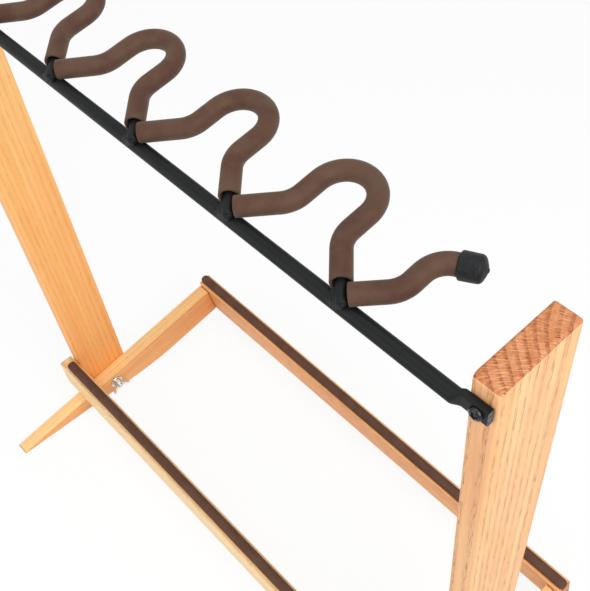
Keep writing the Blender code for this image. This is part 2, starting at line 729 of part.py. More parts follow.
def main():
    clear_scene()
    mats = {
        "oak": make_material("oiled_oak", (0.72, 0.43, 0.22), 0.45),
        "beech": make_material("beech_dowel", (0.78, 0.58, 0.38), 0.6),
        "rubber": make_material("brown_rubber", (0.13, 0.075, 0.05), 0.6),
        "black_rubber": make_material("black_rubber", (0.03, 0.035, 0.038), 0.55),
        "black_steel": make_material("black_powder_coat", (0.025, 0.027, 0.027), 0.4, 0.3),
        "zinc": make_material("zinc_plate", (0.75, 0.75, 0.74), 0.3, 1.0),
    }
    pivot = (0.0, PIVOT_FROM_CENTRE, PIVOT_HEIGHT)
    base_frame = make_empty("base_pivot", pivot, -LEG_SLOPE)
    upright_frame = make_empty("upright_pivot", pivot, -UPRIGHT_LEAN)
    make_base_frame(base_frame, mats)
    make_upright_frame(upright_frame, mats)
    bpy.context.view_layer.update()


main()
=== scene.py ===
import json
import math

import bmesh
import bpy
from mathutils import Matrix, Vector

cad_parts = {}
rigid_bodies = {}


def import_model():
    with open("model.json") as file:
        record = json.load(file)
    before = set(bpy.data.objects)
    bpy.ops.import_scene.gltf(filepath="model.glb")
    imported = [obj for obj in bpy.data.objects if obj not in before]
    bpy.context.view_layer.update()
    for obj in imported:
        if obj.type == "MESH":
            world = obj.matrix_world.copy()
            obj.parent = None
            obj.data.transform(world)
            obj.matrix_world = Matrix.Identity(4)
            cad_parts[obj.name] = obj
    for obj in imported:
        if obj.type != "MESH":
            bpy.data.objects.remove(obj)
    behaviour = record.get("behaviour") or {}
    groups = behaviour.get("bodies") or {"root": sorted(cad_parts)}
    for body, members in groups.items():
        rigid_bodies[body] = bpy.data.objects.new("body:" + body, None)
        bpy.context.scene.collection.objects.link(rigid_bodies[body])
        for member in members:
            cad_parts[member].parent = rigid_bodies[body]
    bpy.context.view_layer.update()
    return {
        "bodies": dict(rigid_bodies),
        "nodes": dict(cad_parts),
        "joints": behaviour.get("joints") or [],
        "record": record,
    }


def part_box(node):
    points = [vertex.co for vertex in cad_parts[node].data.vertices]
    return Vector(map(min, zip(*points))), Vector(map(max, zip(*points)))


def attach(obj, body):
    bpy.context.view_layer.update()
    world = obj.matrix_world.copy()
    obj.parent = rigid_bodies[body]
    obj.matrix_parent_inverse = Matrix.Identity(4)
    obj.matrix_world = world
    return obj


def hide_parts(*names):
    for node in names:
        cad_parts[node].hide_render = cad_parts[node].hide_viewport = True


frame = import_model()

# Driving dimensions, in metres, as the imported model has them
BOARD_THICK = 0.019
BOARD_WIDTH = 0.0655
HALF_BOARD = BOARD_WIDTH / 2
STAND_WIDTH = 0.704
INNER_FACE = STAND_WIDTH / 2 - BOARD_THICK
UPRIGHT_TOP = 0.7355
UPRIGHT_LEAN = math.radians(2.5)
LEG_SLOPE = math.radians(10.95)
LEG_TOP = 0.0154
LEG_DEPTH = 0.0460
LEG_FRONT = 0.1869
SEAT_GAP = 0.0003

REAR_RAIL_HEIGHT = 0.0455
FRONT_RAIL_HEIGHT = 0.0525
PAD_WIDTH = 0.0118
PAD_HEIGHT = 0.0090
PAD_CROWN = 0.0048
PAD_ROUND_END = 0.0055
PAD_END_SIZE = 0.4
REAR_PAD_INSET = 0.0120

BAR_RADIUS = 0.0051
BAR_BEHIND = 0.0050
BAR_BELOW_TOP = 0.0208
BAR_END_SHORT = 0.0025
BAR_FLAT_LENGTH = 0.0170
BAR_PINCH = 0.005
BAR_FLAT_THICK = 0.0050
BAR_FLAT_HEIGHT = 0.0124
LUG_SQUARENESS = 7.0

NOTCHES = 6
NOTCH_PITCH = 0.0976
HOOK_TILT = math.radians(6.4)
HOOK_ROD_RADIUS = 0.0035
SLEEVE_RADIUS = 0.0070
SLEEVE_BORE = 0.0038
SLEEVE_LIP = 0.0004
MOUTH_BORE = 0.0055
MOUTH_DEPTH = 0.010
VERTEX_BEHIND = 0.0043
VERTEX_BELOW_TOP = 0.0118
HAIRPIN_HALF_WIDTH = 0.0208
HAIRPIN_CENTRE = 0.0497
HAIRPIN_BEND = 0.019
END_HOOK_OFFSET = 0.0238
END_HOOK_CORNER = 0.0508
END_HOOK_TURN = math.radians(64.0)
END_HOOK_BEND = 0.018
END_HOOK_TAIL = 0.0267
ROD_OVERRUN = 0.0060
SLEEVE_OVER_START = 0.0081
BUTT_START = 0.0040
CAP_LENGTH = 0.0160
CAP_RADIUS = 0.0087
CAP_WALL = 0.0026
CAP_SWELL = 0.0006
CAP_DOME = 0.0057
CAP_SHOULDER = 0.0036
CAP_NUB = 0.0014
ROD_IN_CAP = 0.004
HOOK_ROD_SIDES = 24
SLEEVE_SIDES = 40
CAP_SIDES = 40

# Weld metal: balls along the lying rod and small feet on the bar, as (along the bar, across it)
WELD_ALONG_ROD = (-0.0046, 0.0, 0.0034, 0.0060)
WELD_SINK = 0.0012
WELD_BALL = 0.0033
WELD_FEET = ((-0.0040, 0.0030), (0.0010, 0.0044), (0.0086, 0.0034), (0.0090, -0.0028), (-0.0016, -0.0030))
WELD_FOOT_SINK = 0.0009
WELD_FOOT_BALL = 0.0011
WELD_VOXEL = 0.0004
WELD_RIPPLE = 0.00014

SCREW_HEAD_RADIUS = 0.0046
SCREW_HEAD_HEIGHT = 0.0030
SCREW_RADIUS = 0.0021
SCREW_SHOWN_SHANK = 0.004
CROSS_REACH = 1.25
CROSS_DEPTH = 0.0026
CROSS_WIDTH = 0.0012
CROSS_BELOW_CROWN = 0.0004
CROSS_TURN = 20.0

LEG_SIDE_PLAY = 0.0004
BOLT_RADIUS = 0.003
BOLT_HEAD_RADIUS = 0.0083
BOLT_HEAD_HEIGHT = 0.0036
BOLT_PAST_NUT = 0.0015
WASHER_RADIUS = 0.0092
WASHER_THICK = 0.0016
BORE_PLAY = 0.0003
HUB_FOOT_RADIUS = 0.0063
HUB_TOP_RADIUS = 0.0052
HUB_HEIGHT = 0.0082
WING_SPAN = 0.0286
WING_HEIGHT = 0.0139
WING_THICK = 0.0028
WING_TURN = math.radians(7.0)
CAST_VOXEL = 0.00032

# Camera solved from the straight edges in the photograph
CAMERA_PLACE = (-0.489186, 0.321489, 1.136853)
CAMERA_TURN = (math.radians(40.14684), math.radians(3.05406), math.radians(-132.31489))
FOCAL_PIXELS = 945.50
PHOTO_WIDTH = 590
SENSOR = 36.0

# Oak colours on the long faces and on end grain
OAK_LIGHT = (0.945, 0.620, 0.290)
OAK_MIDDLE = (0.920, 0.530, 0.220)
OAK_PINK = (0.910, 0.470, 0.235)
OAK_DARK = (0.740, 0.360, 0.135)
END_LIGHT = (0.600, 0.250, 0.102)
END_DARK = (0.440, 0.142, 0.044)
END_PORE = (0.235, 0.046, 0.010)
END_RAY = (0.780, 0.410, 0.210)

# Light
AMBIENT = 0.45
FLOOR_WHITE = 0.88

PIVOT = Vector(frame["joints"][0]["pos_m"])
UPRIGHT_FRAME = Matrix.Translation(PIVOT) @ Matrix.Rotation(-UPRIGHT_LEAN, 4, "X")
LEG_FRAME = Matrix.Translation(PIVOT) @ Matrix.Rotation(-LEG_SLOPE, 4, "X")
SIDES = (("left", -1), ("right", 1))


# Materials

class Nodes:
    """Short calls for building one material's node tree."""

    def __init__(self, name):
        self.material = bpy.data.materials.new(name)
        self.material.use_nodes = True
        self.tree = self.material.node_tree
        self.shader = self.tree.nodes["Principled BSDF"]

    def add(self, kind, **settings):
        node = self.tree.nodes.new(kind)
        for key, value in settings.items():
            setattr(node, key, value)
        return node

    def link(self, source, target):
        self.tree.links.new(source, target)

    def maths(self, operation, a, b=0.0, clamp=False):
        node = self.add("ShaderNodeMath", operation=operation, use_clamp=clamp)
        for socket, value in zip(node.inputs, (a, b)):
            if isinstance(value, (int, float)):
                socket.default_value = value
            else:
                self.link(value, socket)
        return node.outputs[0]

    def coords(self, turn=(0, 0, 0), scale=(1, 1, 1), place=(0, 0, 0)):
        source = self.add("ShaderNodeTexCoord").outputs["Object"]
        spin = self.add("ShaderNodeMapping")
        spin.inputs["Rotation"].default_value = turn
        spin.inputs["Location"].default_value = place
        self.link(source, spin.inputs["Vector"])
        stretch = self.add("ShaderNodeMapping")
        stretch.inputs["Scale"].default_value = scale
        self.link(spin.outputs[0], stretch.inputs["Vector"])
        return stretch.outputs[0]

    def noise(self, vector, scale, detail=3.0, rough=0.55, distort=0.0):
        node = self.add("ShaderNodeTexNoise")
        node.inputs["Scale"].default_value = scale
        node.inputs["Detail"].default_value = detail
        node.inputs["Roughness"].default_value = rough
        node.inputs["Distortion"].default_value = distort
        self.link(vector, node.inputs["Vector"])
        return node.outputs["Fac"]

    def ramp(self, factor, stops):
        node = self.add("ShaderNodeValToRGB")
        elements = node.color_ramp.elements
        while len(elements) < len(stops):
            elements.new(0.5)
        for element, (place, colour) in zip(elements, stops):
            element.position = place
            element.color = (*colour, 1.0)
        self.link(factor, node.inputs["Fac"])
        return node.outputs["Color"]

    def mix(self, blend, factor, a, b):
        node = self.add("ShaderNodeMix", data_type="RGBA", blend_type=blend)
        for socket, value in ((node.inputs[0], factor), (node.inputs[6], a), (node.inputs[7], b)):
            if isinstance(value, (int, float)):
                socket.default_value = value
            elif isinstance(value, tuple):
                socket.default_value = (*value, 1.0)
            else:
                self.link(value, socket)
        return node.outputs[2]

    def bump(self, height, strength, distance):
        node = self.add("ShaderNodeBump")
        node.inputs["Strength"].default_value = strength
        node.inputs["Distance"].default_value = distance
        self.link(height, node.inputs["Height"])
        self.link(node.outputs[0], self.shader.inputs["Normal"])

    def finish(self, colour, rough, metallic=0.0, specular=0.5):
        self.link(colour, self.shader.inputs["Base Color"])
        if isinstance(rough, (int, float)):
            self.shader.inputs["Roughness"].default_value = rough
        else:
            self.link(rough, self.shader.inputs["Roughness"])
        self.shader.inputs["Metallic"].default_value = metallic
        self.shader.inputs["Specular IOR Level"].default_value = specular
        return self.material


def tinted(colour, tint):
    """A colour multiplied by a tint, channel by channel."""
    return tuple(c * t for c, t in zip(colour, tint))


def oak(name, turn, pith, rings, tint=(1.0, 1.0, 1.0), blush=0.35, edge=None, painted_shade_drift=None, figure=1.0):
    """Solid oak with its pith line along local Z: ring bands of pores, fibres, rays and end grain.

    edge tints the faces that look along local Y with painted light, partly also a paler edge-grain tone;
    painted_shade_drift is (from, to, tint) for a slow change along the board, painted shade that darkens it
    towards one end; and figure is the strength of the grain on its long faces.
    """
    n = Nodes(name)
    raw = n.coords(turn=turn, place=pith)
    slow = n.coords(turn=turn, place=pith, scale=(1, 1, 0.06))
    grain = n.coords(turn=turn, place=pith, scale=(1, 1, 0.05))
    split = n.add("ShaderNodeSeparateXYZ")
    n.link(raw, split.inputs[0])
    across = n.maths("POWER", split.outputs["X"], 2.0)
    down = n.maths("POWER", split.outputs["Y"], 2.0)
    distance = n.maths("SQRT", n.maths("ADD", across, down))
    wobble = n.maths("MULTIPLY", n.noise(slow, 7.0, 2.0, 0.5), 0.022)
    phase = n.maths("FRACT", n.maths("MULTIPLY", n.maths("ADD", distance, wobble), rings))
    porous = n.ramp(phase, [(0.0, (0, 0, 0)), (0.06, (1, 1, 1)), (0.34, (0.65, 0.65, 0.65)),
                            (0.50, (0, 0, 0))])

    pores = n.noise(grain, 1500.0, 2.0, 0.6, 0.6)
    fibres = n.noise(n.coords(turn=turn, place=pith, scale=(1, 1, 0.025)), 260.0, 4.0, 0.6, 0.5)
    cloud = n.noise(slow, 45.0, 2.0, 0.5)
    light = tinted(OAK_LIGHT, tint)
    middle = tinted(OAK_MIDDLE, tint)
    pink = tinted(OAK_PINK, tint)
    dark = tinted(OAK_DARK, tint)
    base = n.ramp(n.noise(slow, 75.0, 3.0, 0.6), [(0.40, light), (0.62, middle)])
    blushed = n.maths("MULTIPLY", n.ramp(cloud, [(0.42, (0, 0, 0)), (0.62, (1, 1, 1))]), blush)
    base = n.mix("MIX", blushed, base, pink)
    banded = n.mix("MIX", n.maths("MULTIPLY", porous, 0.30 * figure), base, dark)
    streak = n.ramp(fibres, [(0.36, (0.84, 0.70, 0.56)), (0.54, (1, 1, 1))])
    fibre = n.mix("MULTIPLY", 0.55 * figure, banded, streak)
    pore = n.ramp(pores, [(0.40, (0.50, 0.36, 0.26)), (0.49, (1, 1, 1))])
    open_pores = n.maths("ADD", n.maths("MULTIPLY", porous, 0.80 * figure), 0.10 * figure)
    side = n.mix("MULTIPLY", open_pores, fibre, pore)

    ray_vector = n.add("ShaderNodeCombineXYZ")
    angle = n.maths("ARCTAN2", split.outputs["Y"], split.outputs["X"])
    n.link(n.maths("MULTIPLY", angle, 60.0), ray_vector.inputs[0])
    n.link(n.maths("MULTIPLY", distance, 20.0), ray_vector.inputs[1])
    rays = n.noise(ray_vector.outputs[0], 5.0, 2.0, 0.6)
    pale_ray = n.ramp(rays, [(0.53, (0, 0, 0)), (0.60, (1, 1, 1))])
    end_base = n.ramp(n.noise(raw, 110.0, 3.0, 0.7), [(0.35, END_LIGHT), (0.65, END_DARK)])
    vessel = n.ramp(n.noise(raw, 520.0, 3.0, 0.7), [(0.38, (1, 1, 1)), (0.62, (0, 0, 0))])
    holes = n.maths("ADD", n.maths("MULTIPLY", porous, 0.45), n.maths("MULTIPLY", vessel, 0.25))
    holes = n.maths("ADD", holes, n.maths("MULTIPLY", n.maths("MULTIPLY", porous, vessel), 0.45), clamp=True)
    end = n.mix("MIX", holes, end_base, END_PORE)
    end = n.mix("MIX", n.maths("MULTIPLY", pale_ray, 0.66), end, END_RAY)

    facing = n.add("ShaderNodeMapping", vector_type="NORMAL")
    facing.inputs["Rotation"].default_value = turn
    n.link(n.add("ShaderNodeTexCoord").outputs["Normal"], facing.inputs["Vector"])
    facing_split = n.add("ShaderNodeSeparateXYZ")
    n.link(facing.outputs[0], facing_split.inputs[0])
    # Painted light: the faces that look along local Y are tinted paler, as if more strongly lit; partly also
    # a paler edge-grain tone.
    if edge:
        painted_light_faces = n.maths("GREATER_THAN", n.maths("ABSOLUTE", facing_split.outputs["Y"]), 0.60)
        side = n.mix("MULTIPLY", painted_light_faces, side, edge)
    # Painted shade: the colour darkens slowly along the board towards one end, as the light falls off there.
    if painted_shade_drift:
        change = n.add("ShaderNodeMapRange")
        change.inputs["From Min"].default_value, change.inputs["From Max"].default_value = painted_shade_drift[:2]
        n.link(split.outputs["Z"], change.inputs["Value"])
        side = n.mix("MULTIPLY", change.outputs[0], side, painted_shade_drift[2])
    is_end = n.maths("GREATER_THAN", n.maths("ABSOLUTE", facing_split.outputs["Z"]), 0.30)
    colour = n.mix("MIX", is_end, side, end)
    n.bump(n.maths("SUBTRACT", pores, n.maths("MULTIPLY", porous, 0.15)), 0.16, 0.0003)
    rough = n.maths("ADD", 0.40, n.maths("MULTIPLY", fibres, 0.16))
    return n.finish(colour, rough, specular=0.35)


def rubber(name, deep, pale, rough, sheen=0.0, speck=None):
    """Matte rubber that drifts between two colours, with a fine pitted skin and faint pale specks."""
    n = Nodes(name)
    vector = n.coords()
    cloud = n.noise(vector, 48.0, 3.0, 0.6)
    pits = n.noise(vector, 900.0, 2.0, 0.6)
    n.bump(pits, 0.16, 0.00025)
    n.shader.inputs["Sheen Weight"].default_value = sheen
    n.shader.inputs["Sheen Roughness"].default_value = 0.5
    n.shader.inputs["Sheen Tint"].default_value = (0.95, 0.88, 0.72, 1.0)
    tint = n.ramp(cloud, [(0.38, deep), (0.60, pale)])
    if speck:
        dust = n.ramp(n.noise(vector, 1100.0, 3.0, 0.7), [(0.52, (0, 0, 0)), (0.68, (1, 1, 1))])
        tint = n.mix("MIX", dust, tint, speck)
    return n.finish(tint, n.maths("ADD", rough, n.maths("MULTIPLY", cloud, 0.12)), specular=0.14)


def powder_coat(name, colour, rough, specular=0.15, pale_end_patches=None):
    """Fine orange-peel coat; pale_end_patches is a paler colour laid in noise patches on the faces that look
    along X.
    """
    n = Nodes(name)
    vector = n.coords()
    peel = n.noise(vector, 1400.0, 2.0, 0.5)
    cloud = n.noise(vector, 40.0, 2.0, 0.5)
    worn = tuple(c * 1.5 for c in colour)
    n.bump(peel, 0.22, 0.00018)
    coat = n.ramp(cloud, [(0.35, colour), (0.75, worn)])
    if pale_end_patches:
        facing = n.add("ShaderNodeSeparateXYZ")
        n.link(n.add("ShaderNodeTexCoord").outputs["Normal"], facing.inputs[0])
        is_tip = n.maths("GREATER_THAN", n.maths("ABSOLUTE", facing.outputs["X"]), 0.9)
        pale_patches = n.ramp(n.noise(vector, 420.0, 3.0, 0.6), [(0.35, (0.2, 0.2, 0.2)), (0.6, (1, 1, 1))])
        coat = n.mix("MIX", n.maths("MULTIPLY", is_tip, pale_patches), coat, pale_end_patches)
    return n.finish(coat, rough, metallic=0.0, specular=specular)


def zinc(name):
    """Bright zinc plate with a fine uneven grain."""
    n = Nodes(name)
    brushed = n.noise(n.coords(), 700.0, 3.0, 0.7)
    n.bump(brushed, 0.10, 0.0001)
    rough = n.maths("ADD", 0.22, n.maths("MULTIPLY", brushed, 0.18))
    plate = n.ramp(brushed, [(0.3, (0.62, 0.62, 0.60)), (0.7, (0.80, 0.80, 0.78))])
    return n.finish(plate, rough, metallic=1.0)


# Mesh helpers

def new_piece(name, bm, material, body, matrix=None, smooth=True, angle=35.0):
    """Make a named piece of a mesh, place it and let it ride on its body."""
    if matrix is not None:
        bmesh.ops.transform(bm, matrix=matrix, verts=bm.verts)
    bmesh.ops.recalc_face_normals(bm, faces=bm.faces)
    mesh = bpy.data.meshes.new(name)
    bm.to_mesh(mesh)
    bm.free()
    if smooth:
        mesh.shade_smooth()
        mesh.set_sharp_from_angle(angle=math.radians(angle))
    mesh.materials.append(material)
    piece = bpy.data.objects.new(name, mesh)
    bpy.context.collection.objects.link(piece)
    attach(piece, body)
    return piece


def baked(piece):
    """Turn a piece's modifiers into its mesh."""
    bpy.context.view_layer.update()
    mesh = bpy.data.meshes.new_from_object(piece.evaluated_get(bpy.context.evaluated_depsgraph_get()))
    piece.modifiers.clear()
    piece.data = mesh


def skin_rings(bm, rings):
    """Faces between each ring of vertices and the next."""
    count = len(rings[0])
    for near, far in zip(rings, rings[1:]):
        for i in range(count):
            j = (i + 1) % count
            bm.faces.new((near[i], near[j], far[j], far[i]))


def ring(bm, centre, across, up, radius, sides):
    """A circle of vertices in the plane of across and up."""
    verts = []
    for i in range(sides):
        angle = math.tau * i / sides
        spoke = across * (math.cos(angle) * radius) + up * (math.sin(angle) * radius)
        verts.append(bm.verts.new(centre + spoke))
    return verts


def turned(profile, origin, axis, sides, closed=False):
    """A turned body from (distance along the axis, radius) pairs; closed joins the last pair to the first."""
    bm = bmesh.new()
    axis = Vector(axis).normalized()
    up = Vector((0, 0, 1)) if abs(axis.z) < 0.9 else Vector((0, 1, 0))
    across = axis.cross(up).normalized()
    up = across.cross(axis)
    rings = [ring(bm, Vector(origin) + axis * a, across, up, r, sides) for a, r in profile]
    if closed:
        skin_rings(bm, rings + [rings[0]])
        return bm
    skin_rings(bm, rings)
    bm.faces.new(rings[0])
    bm.faces.new(rings[-1])
    return bm


def arc_points(centre, radius, start, end, steps):
    """Points of an arc from one angle to another."""
    points = []
    for i in range(steps + 1):
        angle = start + (end - start) * i / steps
        points.append((centre[0] + radius * math.cos(angle), centre[1] + radius * math.sin(angle)))
    return points


def rounded_corner(before, corner, after, radius, steps):
    """Points of the arc that rounds one corner of a path and meets both its sides smoothly."""
    corner = Vector(corner)
    back = (Vector(before) - corner).normalized()
    on = (Vector(after) - corner).normalized()
    half = back.angle(on) / 2
    centre = corner + (back + on).normalized() * (radius / math.sin(half))
    first = corner + back * (radius / math.tan(half)) - centre
    last = corner + on * (radius / math.tan(half)) - centre
    turn = first.angle_signed(last)
    return [tuple(centre + Matrix.Rotation(-turn * i / steps, 2) @ first) for i in range(steps + 1)]


# Hooks

def hairpin_path():
    """Centre line of one hairpin as (across, forward) pairs, from weld to weld."""
    weld = (-NOTCH_PITCH / 2, 0.0)
    knee = (-HAIRPIN_HALF_WIDTH, NOTCH_PITCH / 2 - HAIRPIN_HALF_WIDTH)
    left = [weld] + rounded_corner(weld, knee, (-HAIRPIN_HALF_WIDTH, HAIRPIN_CENTRE), HAIRPIN_BEND, 10)
    crown = arc_points((0.0, HAIRPIN_CENTRE), HAIRPIN_HALF_WIDTH, math.pi, 0.0, 30)
    return left + crown + [(-x, s) for x, s in reversed(left)]


def end_hook_path():
    """Centre line of an end hook as (across, forward) pairs, from its weld to its capped tip."""
    weld = (0.0, 0.0)
    knee = (END_HOOK_OFFSET, END_HOOK_OFFSET)
    corner = (END_HOOK_OFFSET, END_HOOK_CORNER)
    tip = (END_HOOK_OFFSET + END_HOOK_TAIL * math.sin(END_HOOK_TURN),
           END_HOOK_CORNER + END_HOOK_TAIL * math.cos(END_HOOK_TURN))
    path = [weld] + rounded_corner(weld, knee, corner, HAIRPIN_BEND, 10)
    return path + rounded_corner(knee, corner, tip, END_HOOK_BEND, 12) + [tip]


def trimmed(path, start, end):
    """A path shortened at its two ends, which run straight there; a negative amount lengthens it."""
    points = [Vector(p) for p in path]
    points[0] += (points[1] - points[0]).normalized() * start
    points[-1] += (points[-2] - points[-1]).normalized() * end
    return points


def dense(path, step=0.003):
    """The same path with extra points on its long straight runs."""
    points = [path[0]]
    for a, b in zip(path, path[1:]):
        count = max(1, round((b - a).length / step))
        points += [a.lerp(b, i / count) for i in range(1, count + 1)]
    return points


def along_rack(path, x, sign=1):
    """A path moved to its place along the rack, mirrored where sign is -1."""
    return [Vector((x + sign * across, forward)) for across, forward in path]


def hook_point(x, s):
    """Place a point of the hooks' plane in the upright frame."""
    y = HALF_BOARD + VERTEX_BEHIND - s * math.cos(HOOK_TILT)
    z = UPRIGHT_TOP - VERTEX_BELOW_TOP + s * math.sin(HOOK_TILT)
    return Vector((x, y, z))


HOOK_NORMAL = Vector((0.0, math.sin(HOOK_TILT), math.cos(HOOK_TILT)))


def path_frames(path):
    """Centre, sideways direction and running direction at each point of a path."""
    frames = []
    for i, point in enumerate(path):
        here = hook_point(*point)
        along = hook_point(*path[min(i + 1, len(path) - 1)]) - hook_point(*path[max(i - 1, 0)])
        along.normalize()
        frames.append((here, along.cross(HOOK_NORMAL).normalized(), along))
    return frames


def end_rings(bm, frame, outward, steps, sides):
    """Rings beyond a path's end; steps are (distance along, radius) pairs."""
    here, across, along = frame
    return [ring(bm, here + along * outward * d, across, HOOK_NORMAL, r, sides) for d, r in steps]


def swept_rod(path, radius, sides):
    """A round rod along a path, with eased ends."""
    bm = bmesh.new()
    frames = path_frames(path)
    ease = radius * 0.25
    steps = [(ease * 0.6, radius - ease * 0.3), (ease, radius - ease)]
    rings = [ring(bm, here, across, HOOK_NORMAL, radius, sides) for here, across, along in frames]
    rings = list(reversed(end_rings(bm, frames[0], -1, steps, sides))) + rings
    rings += end_rings(bm, frames[-1], 1, steps, sides)
    skin_rings(bm, rings)
    bm.faces.new(rings[0])
    bm.faces.new(rings[-1])
    return bm


def swept_sleeve(path, open_ends, sides):
    """A rubber tube with eased lips; its bore stands clear of the rod near each open end."""
    bm = bmesh.new()
    frames = path_frames(path)
    lengths = [0.0]
    for (a, _, _), (b, _, _) in zip(frames, frames[1:]):
        lengths.append(lengths[-1] + (b - a).length)
    outer = []
    inner = []
    for (here, across, along), run in zip(frames, lengths):
        bore = SLEEVE_BORE
        for is_open, gone in zip(open_ends, (run, lengths[-1] - run)):
            if is_open and gone < 2 * MOUTH_DEPTH:
                fade = min(1.0, max(0.0, gone / MOUTH_DEPTH - 1.0))
                bore = MOUTH_BORE + (SLEEVE_BORE - MOUTH_BORE) * fade
        outer.append(ring(bm, here, across, HOOK_NORMAL, SLEEVE_RADIUS, sides))
        inner.append(ring(bm, here, across, HOOK_NORMAL, bore, sides))
    lip = SLEEVE_LIP
    skin_rings(bm, outer)
    skin_rings(bm, inner)
    for frame_at, outward, is_open, edge_out, edge_in in (
            (frames[0], -1, open_ends[0], outer[0], inner[0]),
            (frames[-1], 1, open_ends[1], outer[-1], inner[-1])):
        bore = MOUTH_BORE if is_open else SLEEVE_BORE
        steps = [(lip * 0.7, SLEEVE_RADIUS - lip * 0.3), (lip, SLEEVE_RADIUS - lip), (lip, bore + lip),
                 (lip * 0.7, bore + lip * 0.3)]
        skin_rings(bm, [edge_out] + end_rings(bm, frame_at, outward, steps, sides) + [edge_in])
    return bm


def press_on_bar(bm):
    """Move what would lie in the bar out to its surface, as soft rubber gives way."""
    bar_y = HALF_BOARD + BAR_BEHIND
    bar_z = UPRIGHT_TOP - BAR_BELOW_TOP
    clear = BAR_RADIUS + 0.0001
    for vert in bm.verts:
        away = Vector((vert.co.y - bar_y, vert.co.z - bar_z))
        if away.length < clear:
            away *= clear / away.length
            vert.co.y = bar_y + away.x
            vert.co.z = bar_z + away.y


def vertex_x(index):
    """x of the weld at the bottom of one notch."""
    return (index - (NOTCHES - 1) / 2) * NOTCH_PITCH


def make_hook(label, path, ends, tail, steel, brown):
    """Rod and sleeve along one path; ends says how its first and its last end are made."""
    rod_trim = {"over": -ROD_OVERRUN, "butt": BUTT_START, "cap": ROD_IN_CAP}
    sleeve_trim = {"over": SLEEVE_OVER_START, "butt": BUTT_START, "cap": tail}
    rod_path = dense(trimmed(path, rod_trim[ends[0]], rod_trim[ends[1]]))
    rod = new_piece(f"rod_{label}", swept_rod(rod_path, HOOK_ROD_RADIUS, HOOK_ROD_SIDES), steel,
                    "uprights", UPRIGHT_FRAME)
    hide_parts(f"hook_rod_{label}")
    first, last = (sleeve_trim[end] + SLEEVE_LIP for end in ends)
    bm = swept_sleeve(dense(trimmed(path, first, last)), [end == "over" for end in ends],
                      SLEEVE_SIDES)
    if "butt" in ends:
        press_on_bar(bm)
    sleeve = new_piece(f"sleeve_{label}", bm, brown, "uprights", UPRIGHT_FRAME)
    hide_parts(f"hook_sleeve_{label}")


def make_hooks(steel, brown, black):
    """The hairpins between the welds, and the two end hooks with their caps."""
    for number in range(1, NOTCHES):
        x = (vertex_x(number - 1) + vertex_x(number)) / 2
        make_hook(number, along_rack(hairpin_path(), x), ("over", "butt"), 0.0, steel, brown)
    tail = CAP_LENGTH - CAP_WALL + SEAT_GAP
    for side, sign in SIDES:
        x = sign * vertex_x(NOTCHES - 1)
        weld = "butt" if sign < 0 else "over"
        make_hook(side, along_rack(end_hook_path(), x, sign), (weld, "cap"), tail, steel, brown)
        make_cap(side, sign, x, black)


def make_cap(side, sign, x, black):
    """Rubber cap with a rolled mouth, a rounded shoulder and a softly pointed tip."""
    path = end_hook_path()
    tip = Vector(path[-1])
    inward = (Vector(path[-2]) - tip).normalized()
    mouth = tip + inward * (CAP_LENGTH - CAP_WALL)
    mouth_point = hook_point(x + sign * mouth.x, mouth.y)
    axis = (hook_point(x + sign * tip.x, tip.y) - mouth_point).normalized()
    crown = CAP_LENGTH + CAP_SWELL - CAP_NUB * 0.4
    straight = CAP_LENGTH + CAP_SWELL - CAP_DOME
    profile = [(0.0, HOOK_ROD_RADIUS + 0.0005), (0.0, CAP_RADIUS * 0.90)]
    profile += [(0.0004, CAP_RADIUS * 0.96), (0.0012, CAP_RADIUS), (straight * 0.6, CAP_RADIUS * 0.99)]
    wall = CAP_RADIUS * 0.975
    for i in range(8):
        angle = math.radians(10 * i)
        radius = wall - CAP_SHOULDER * (1 - math.cos(angle))
        profile.append((straight + CAP_SHOULDER * math.sin(angle), radius))
    shoulder_at, shoulder_radius = profile[-1]
    for i in range(1, 9):
        left = 1 - i / 8
        radius = CAP_NUB + (shoulder_radius - CAP_NUB) * left
        profile.append((shoulder_at + (crown - shoulder_at) * (1 - left ** 1.3), radius))
    profile += [(crown + CAP_NUB * 0.3, CAP_NUB * 0.85), (crown + CAP_NUB * 0.4, CAP_NUB * 0.4)]
    cap = new_piece("cap_" + side, turned(profile, mouth_point, axis, CAP_SIDES), black, "uprights",
                    UPRIGHT_FRAME)
    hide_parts("hook_cap_" + side)


